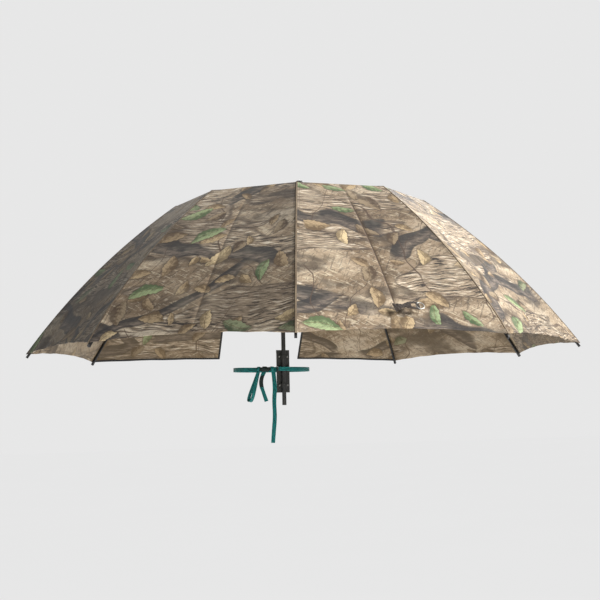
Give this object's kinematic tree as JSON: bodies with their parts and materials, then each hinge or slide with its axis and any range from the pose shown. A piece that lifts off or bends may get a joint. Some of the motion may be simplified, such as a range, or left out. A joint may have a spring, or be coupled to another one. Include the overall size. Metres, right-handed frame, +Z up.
{
  "type": "tree umbrella",
  "caption": "Tree-mounted umbrella: slotted camouflage canopy on folding ribs, short mast with a cranked bar, bracket and webbing that tie to a trunk.",
  "frame": {"origin": "centre of the webbing ring round the trunk, on the trunk's axis", "axes": "+Z up along the trunk and the mast, -Y towards the front of the umbrella, X across it"},
  "size_m": [1.4508, 1.2228, 0.7215],
  "materials": {
    "canopy_fabric": null,
    "rib_steel": "black lacquered spring steel",
    "mast_steel": "dark powder coat",
    "black_plastic": "moulded nylon",
    "plated_wire": "zinc plated",
    "webbing": "flat woven polypropylene webbing, dark teal",
    "tie_tape": "hook-and-loop tape, black-brown"
  },
  "bodies": {
    "mast_body": {"crown_hub": "black_plastic", "crown_wire": "plated_wire", "finial": "black_plastic", "upper_shaft": "mast_steel", "lower_bar": "mast_steel", "bar_plug": "black_plastic", "tree_bracket": "mast_steel", "bracket_saddles": "mast_steel", "strap_ring": "webbing", "strap_knot": "webbing", "strap_loop": "webbing", "strap_short_tail": "webbing", "strap_long_tail": "webbing", "runner_catch": "plated_wire"},
    "runner_body": {"runner": "black_plastic"},
    "button_body": {"bar_button": "plated_wire"},
    "rib_4_inner": {"inner_rib_4": "rib_steel", "canopy_crown_4": "canopy_fabric"},
    "rib_4_outer": {"outer_rib_4": "rib_steel", "canopy_skirt_4": "canopy_fabric"},
    "rib_4_stretcher": {"stretcher_4": "rib_steel"},
    "rib_1_inner": {"inner_rib_1": "rib_steel", "canopy_crown_1": "canopy_fabric"},
    "rib_1_outer": {"outer_rib_1": "rib_steel", "canopy_skirt_1": "canopy_fabric"},
    "rib_1_stretcher": {"stretcher_1": "rib_steel"},
    "rib_2_inner": {"inner_rib_2": "rib_steel", "canopy_crown_2": "canopy_fabric"},
    "rib_2_outer": {"outer_rib_2": "rib_steel", "canopy_skirt_2": "canopy_fabric"},
    "rib_2_stretcher": {"stretcher_2": "rib_steel"},
    "rib_3_inner": {"inner_rib_3": "rib_steel", "canopy_crown_3": "canopy_fabric"},
    "rib_3_outer": {"outer_rib_3": "rib_steel", "canopy_skirt_3": "canopy_fabric"},
    "rib_3_stretcher": {"stretcher_3": "rib_steel"},
    "rib_5_inner": {"inner_rib_5": "rib_steel", "canopy_crown_5": "canopy_fabric"},
    "rib_5_outer": {"outer_rib_5": "rib_steel", "canopy_skirt_5": "canopy_fabric", "closure_tie": "tie_tape", "closure_ring": "plated_wire"},
    "rib_5_stretcher": {"stretcher_5": "rib_steel"},
    "rib_6_inner": {"inner_rib_6": "rib_steel", "canopy_crown_6": "canopy_fabric"},
    "rib_6_outer": {"outer_rib_6": "rib_steel", "canopy_skirt_6": "canopy_fabric"},
    "rib_6_stretcher": {"stretcher_6": "rib_steel"},
    "rib_7_inner": {"inner_rib_7": "rib_steel", "canopy_crown_7": "canopy_fabric"},
    "rib_7_outer": {"outer_rib_7": "rib_steel", "canopy_skirt_7": "canopy_fabric"},
    "rib_7_stretcher": {"stretcher_7": "rib_steel"},
    "rib_8_inner": {"inner_rib_8": "rib_steel", "canopy_crown_8": "canopy_fabric"},
    "rib_8_outer": {"outer_rib_8": "rib_steel", "canopy_skirt_8": "canopy_fabric"},
    "rib_8_stretcher": {"stretcher_8": "rib_steel"}
  },
  "joints": [
    {"name": "canopy_fold", "type": "hinge", "parent": "mast_body", "child": "rib_4_inner", "pos_m": [-0.00601, -0.31697, 0.48777], "axis": [0.9426, -0.3338, 0], "range_deg": [0, 73.56], "deforming": ["canopy_crown_4", "canopy_skirt_4"]},
    {"name": "rib_4_knuckle", "type": "hinge", "parent": "rib_4_inner", "child": "rib_4_outer", "pos_m": [-0.11324, -0.61979, 0.42859], "axis": [0.9426, -0.3338, 0], "range_deg": [-31, 0]},
    {"name": "rib_4_stretch", "type": "hinge", "parent": "rib_4_inner", "child": "rib_4_stretcher", "pos_m": [-0.04803, -0.43563, 0.46458], "axis": [0.9426, -0.3338, 0], "range_deg": [-147.12, 0]},
    {"name": "rib_1_fold", "type": "hinge", "parent": "mast_body", "child": "rib_1_inner", "pos_m": [-0.01239, -0.28694, 0.48777], "axis": [-0.7254, -0.6884, 0], "range_deg": [0, 73.56], "deforming": ["canopy_crown_1", "canopy_skirt_1"]},
    {"name": "rib_1_knuckle", "type": "hinge", "parent": "rib_1_inner", "child": "rib_1_outer", "pos_m": [-0.23352, -0.05392, 0.42859], "axis": [-0.7254, -0.6884, 0], "range_deg": [-31, 0]},
    {"name": "rib_1_stretch", "type": "hinge", "parent": "rib_1_inner", "child": "rib_1_stretcher", "pos_m": [-0.09904, -0.19563, 0.46458], "axis": [-0.7254, -0.6884, 0], "range_deg": [-147.12, 0]},
    {"name": "rib_2_fold", "type": "hinge", "parent": "mast_body", "child": "rib_2_inner", "pos_m": [-0.01785, -0.29765, 0.48777], "axis": [-0.1305, -0.9914, 0], "range_deg": [0, 73.56], "deforming": ["canopy_crown_2", "canopy_skirt_2"]},
    {"name": "rib_2_knuckle", "type": "hinge", "parent": "rib_2_inner", "child": "rib_2_outer", "pos_m": [-0.33634, -0.25572, 0.42859], "axis": [-0.1305, -0.9914, 0], "range_deg": [-31, 0]},
    {"name": "rib_2_stretch", "type": "hinge", "parent": "rib_2_inner", "child": "rib_2_stretcher", "pos_m": [-0.14265, -0.28122, 0.46458], "axis": [-0.1305, -0.9914, 0], "range_deg": [-147.12, 0]},
    {"name": "rib_3_fold", "type": "hinge", "parent": "mast_body", "child": "rib_3_inner", "pos_m": [-0.01535, -0.3094, 0.48777], "axis": [0.5225, -0.8526, 0], "range_deg": [0, 73.56], "deforming": ["canopy_crown_3", "canopy_skirt_3"]},
    {"name": "rib_3_knuckle", "type": "hinge", "parent": "rib_3_inner", "child": "rib_3_outer", "pos_m": [-0.28925, -0.47725, 0.42859], "axis": [0.5225, -0.8526, 0], "range_deg": [-31, 0]},
    {"name": "rib_3_stretch", "type": "hinge", "parent": "rib_3_inner", "child": "rib_3_stretcher", "pos_m": [-0.12268, -0.37518, 0.46458], "axis": [0.5225, -0.8526, 0], "range_deg": [-147.12, 0]},
    {"name": "rib_5_fold", "type": "hinge", "parent": "mast_body", "child": "rib_5_inner", "pos_m": [0.00601, -0.31697, 0.48777], "axis": [0.9426, 0.3338, 0], "range_deg": [0, 73.56], "deforming": ["canopy_crown_5", "canopy_skirt_5", "closure_tie", "closure_ring"]},
    {"name": "rib_5_knuckle", "type": "hinge", "parent": "rib_5_inner", "child": "rib_5_outer", "pos_m": [0.11324, -0.61979, 0.42859], "axis": [0.9426, 0.3338, 0], "range_deg": [-31, 0]},
    {"name": "rib_5_stretch", "type": "hinge", "parent": "rib_5_inner", "child": "rib_5_stretcher", "pos_m": [0.04803, -0.43563, 0.46458], "axis": [0.9426, 0.3338, 0], "range_deg": [-147.12, 0]},
    {"name": "rib_6_fold", "type": "hinge", "parent": "mast_body", "child": "rib_6_inner", "pos_m": [0.01535, -0.3094, 0.48777], "axis": [0.5225, 0.8526, 0], "range_deg": [0, 73.56], "deforming": ["canopy_crown_6", "canopy_skirt_6"]},
    {"name": "rib_6_knuckle", "type": "hinge", "parent": "rib_6_inner", "child": "rib_6_outer", "pos_m": [0.28925, -0.47725, 0.42859], "axis": [0.5225, 0.8526, 0], "range_deg": [-31, 0]},
    {"name": "rib_6_stretch", "type": "hinge", "parent": "rib_6_inner", "child": "rib_6_stretcher", "pos_m": [0.12268, -0.37518, 0.46458], "axis": [0.5225, 0.8526, 0], "range_deg": [-147.12, 0]},
    {"name": "rib_7_fold", "type": "hinge", "parent": "mast_body", "child": "rib_7_inner", "pos_m": [0.01785, -0.29765, 0.48777], "axis": [-0.1305, 0.9914, 0], "range_deg": [0, 73.56], "deforming": ["canopy_crown_7", "canopy_skirt_7"]},
    {"name": "rib_7_knuckle", "type": "hinge", "parent": "rib_7_inner", "child": "rib_7_outer", "pos_m": [0.33634, -0.25572, 0.42859], "axis": [-0.1305, 0.9914, 0], "range_deg": [-31, 0]},
    {"name": "rib_7_stretch", "type": "hinge", "parent": "rib_7_inner", "child": "rib_7_stretcher", "pos_m": [0.14265, -0.28122, 0.46458], "axis": [-0.1305, 0.9914, 0], "range_deg": [-147.12, 0]},
    {"name": "rib_8_fold", "type": "hinge", "parent": "mast_body", "child": "rib_8_inner", "pos_m": [0.01239, -0.28694, 0.48777], "axis": [-0.7254, 0.6884, 0], "range_deg": [0, 73.56], "deforming": ["canopy_crown_8", "canopy_skirt_8"]},
    {"name": "rib_8_knuckle", "type": "hinge", "parent": "rib_8_inner", "child": "rib_8_outer", "pos_m": [0.23352, -0.05392, 0.42859], "axis": [-0.7254, 0.6884, 0], "range_deg": [-31, 0]},
    {"name": "rib_8_stretch", "type": "hinge", "parent": "rib_8_inner", "child": "rib_8_stretcher", "pos_m": [0.09904, -0.19563, 0.46458], "axis": [-0.7254, 0.6884, 0], "range_deg": [-147.12, 0]},
    {"name": "runner_slide", "type": "slide", "parent": "mast_body", "child": "runner_body", "axis": [0, 0, -1], "range_m": [0, 0.20822], "deforming": ["runner_catch"]},
    {"name": "button_press", "type": "slide", "parent": "mast_body", "child": "button_body", "axis": [0, 1, 0], "range_m": [0, 0.0025], "stiffness_N_per_m": 600}
  ],
  "couplings": [
    {"joint": "rib_4_knuckle", "follows": "canopy_fold", "ratio": -0.42142},
    {"joint": "rib_4_stretch", "follows": "canopy_fold", "ratio": -2},
    {"joint": "rib_1_fold", "follows": "canopy_fold", "ratio": 1},
    {"joint": "rib_1_knuckle", "follows": "canopy_fold", "ratio": -0.42142},
    {"joint": "rib_1_stretch", "follows": "canopy_fold", "ratio": -2},
    {"joint": "rib_2_fold", "follows": "canopy_fold", "ratio": 1},
    {"joint": "rib_2_knuckle", "follows": "canopy_fold", "ratio": -0.42142},
    {"joint": "rib_2_stretch", "follows": "canopy_fold", "ratio": -2},
    {"joint": "rib_3_fold", "follows": "canopy_fold", "ratio": 1},
    {"joint": "rib_3_knuckle", "follows": "canopy_fold", "ratio": -0.42142},
    {"joint": "rib_3_stretch", "follows": "canopy_fold", "ratio": -2},
    {"joint": "rib_5_fold", "follows": "canopy_fold", "ratio": 1},
    {"joint": "rib_5_knuckle", "follows": "canopy_fold", "ratio": -0.42142},
    {"joint": "rib_5_stretch", "follows": "canopy_fold", "ratio": -2},
    {"joint": "rib_6_fold", "follows": "canopy_fold", "ratio": 1},
    {"joint": "rib_6_knuckle", "follows": "canopy_fold", "ratio": -0.42142},
    {"joint": "rib_6_stretch", "follows": "canopy_fold", "ratio": -2},
    {"joint": "rib_7_fold", "follows": "canopy_fold", "ratio": 1},
    {"joint": "rib_7_knuckle", "follows": "canopy_fold", "ratio": -0.42142},
    {"joint": "rib_7_stretch", "follows": "canopy_fold", "ratio": -2},
    {"joint": "rib_8_fold", "follows": "canopy_fold", "ratio": 1},
    {"joint": "rib_8_knuckle", "follows": "canopy_fold", "ratio": -0.42142},
    {"joint": "rib_8_stretch", "follows": "canopy_fold", "ratio": -2},
    {"joint": "runner_slide", "follows": "canopy_fold", "m_per_rad": 0.16218}
  ]
}
